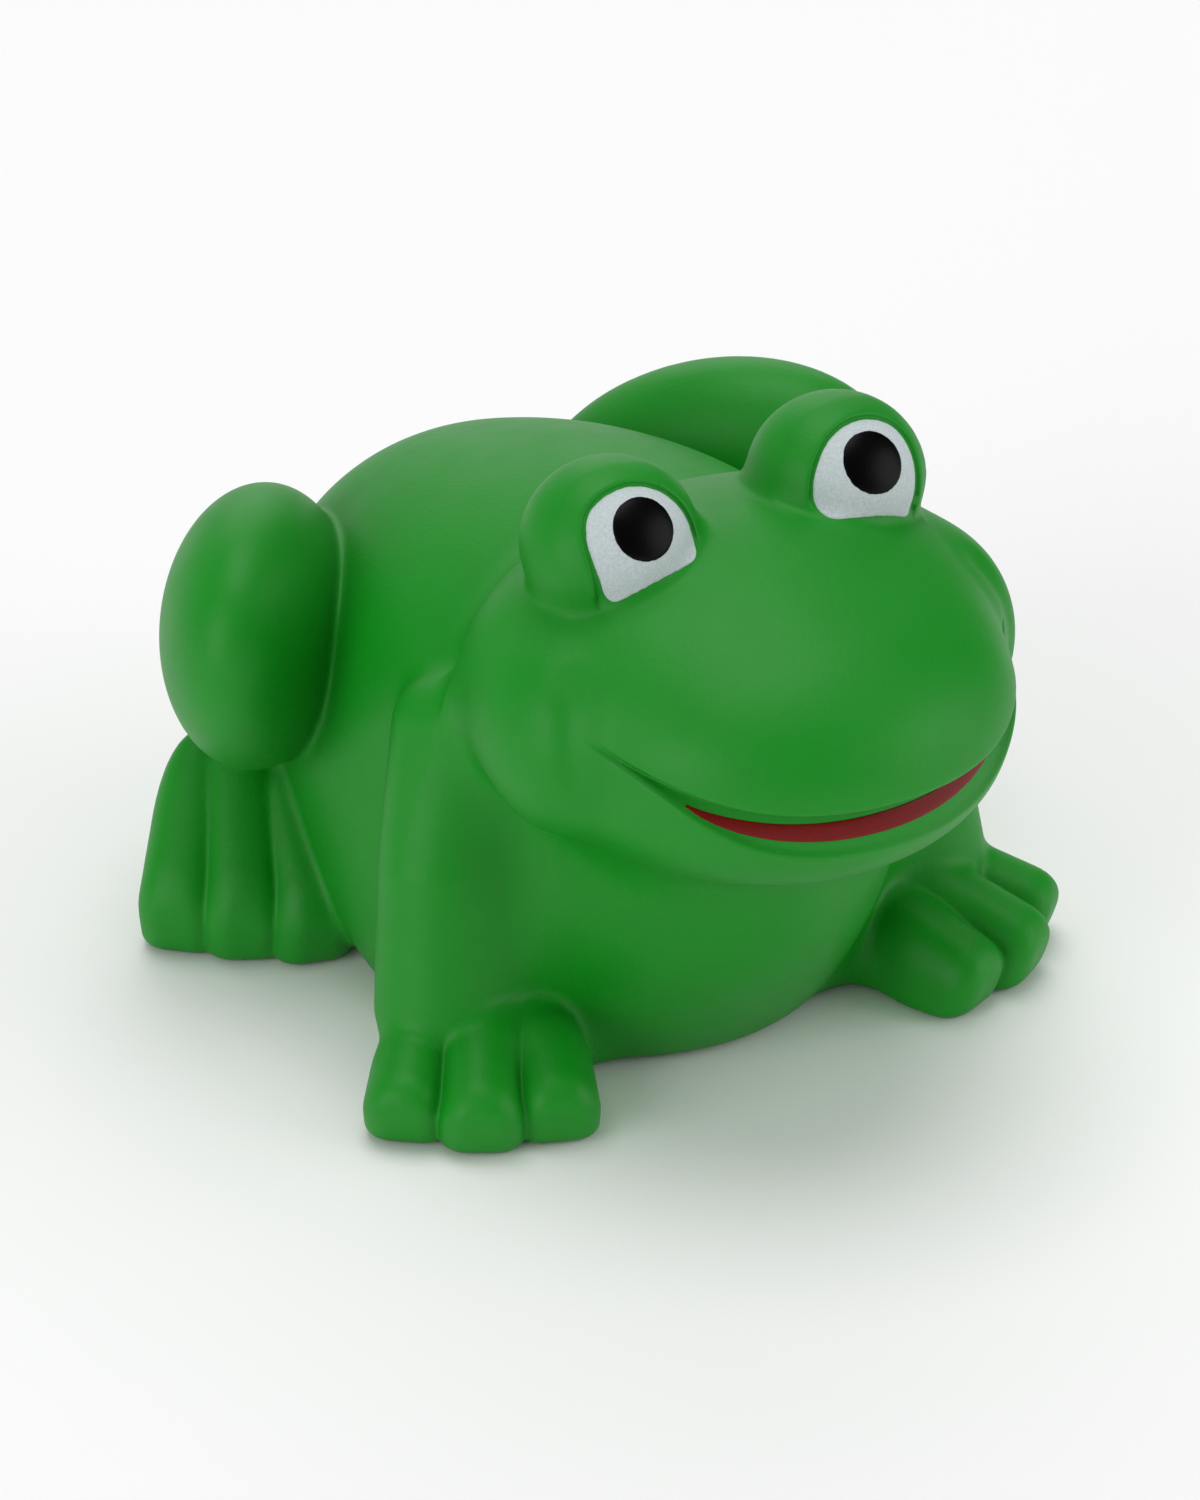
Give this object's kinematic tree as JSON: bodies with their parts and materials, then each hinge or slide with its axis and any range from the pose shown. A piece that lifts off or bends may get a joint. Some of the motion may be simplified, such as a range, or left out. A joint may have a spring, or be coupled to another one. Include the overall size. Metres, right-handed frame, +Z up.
{
  "type": "foam stress frog",
  "caption": "Squeezable moulded foam frog, sitting on a flat base, with hooded painted eyes, a wide red smile, folded hind legs and splayed toes.",
  "frame": {"origin": "middle of the flat base, under the centre of the frog's box", "axes": "+Z up from the base, -Y the way the frog faces, +X the frog's left side"},
  "size_m": [0.0708, 0.0839, 0.0583],
  "materials": {
    "foam": "soft open-celled polyurethane foam",
    "green_skin": "satin polyurethane skin with a fine orange-peel texture",
    "white_paint": "sprayed matt white paint",
    "black_paint": "printed satin black paint",
    "red_paint": "brushed satin red paint"
  },
  "bodies": {
    "root": {"foam_core": "foam", "green_skin": "green_skin", "left_eye_white": "white_paint", "right_eye_white": "white_paint", "left_pupil": "black_paint", "right_pupil": "black_paint", "red_mouth": "red_paint"}
  },
  "joints": []
}
